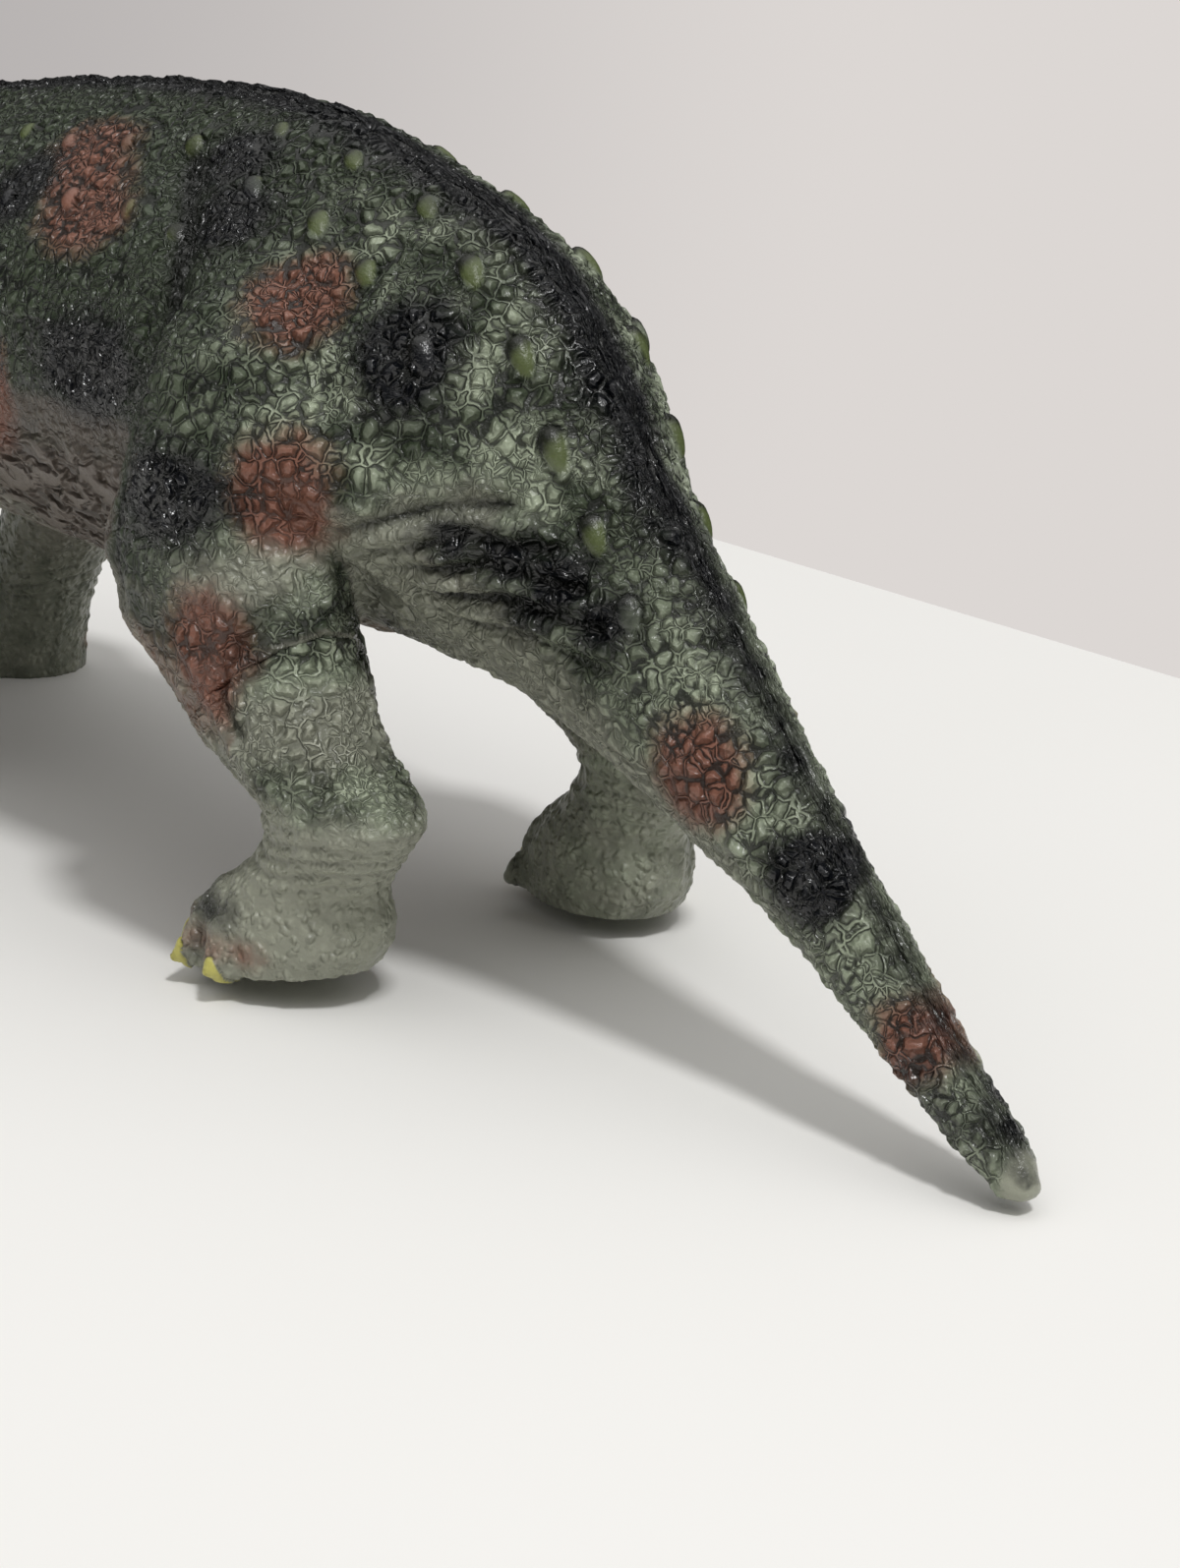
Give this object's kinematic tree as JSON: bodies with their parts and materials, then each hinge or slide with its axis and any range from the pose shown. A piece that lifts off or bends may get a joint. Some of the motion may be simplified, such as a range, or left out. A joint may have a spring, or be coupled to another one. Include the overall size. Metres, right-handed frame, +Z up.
{
  "type": "toy dinosaur figure",
  "caption": "Stuffed soft vinyl toy dinosaur standing on its front feet and tail tip, with a frilled, horned head that turns at the neck.",
  "frame": {"origin": "on the surface that the figure stands on, under the middle of its outer box", "axes": "+X towards the head, +Y the figure's left side, +Z up"},
  "size_m": [0.5196, 0.1246, 0.1773],
  "materials": {
    "body_vinyl": "painted soft vinyl with moulded scales",
    "head_vinyl": "painted soft vinyl with moulded scales",
    "leg_vinyl": "soft vinyl with leathery wrinkles",
    "horn_vinyl": "satin vinyl with fine growth rings",
    "eye_plastic": "polished",
    "plug_plastic": "moulded satin",
    "stuffing": "loose polyester fibre"
  },
  "bodies": {
    "figure": {"body_skin": "body_vinyl", "belly_plug": "plug_plastic", "torso_fill": "stuffing", "tail_fill": "stuffing", "hind_leg_left": "leg_vinyl", "hind_leg_left_fill": "stuffing", "hind_leg_right": "leg_vinyl", "hind_leg_right_fill": "stuffing", "front_leg_left": "leg_vinyl", "front_leg_left_fill": "stuffing", "front_leg_right": "leg_vinyl", "front_leg_right_fill": "stuffing"},
    "head": {"head_skin": "head_vinyl", "head_fill": "stuffing", "brow_horn_left": "horn_vinyl", "brow_horn_right": "horn_vinyl", "nose_horn": "horn_vinyl", "eye_left": "eye_plastic", "eye_right": "eye_plastic"}
  },
  "joints": [
    {"name": "neck_turn", "type": "hinge", "parent": "figure", "child": "head", "pos_m": [0.14185, 0, 0.112], "axis": [1, 0, 0], "range_deg": [-25, 25]}
  ]
}
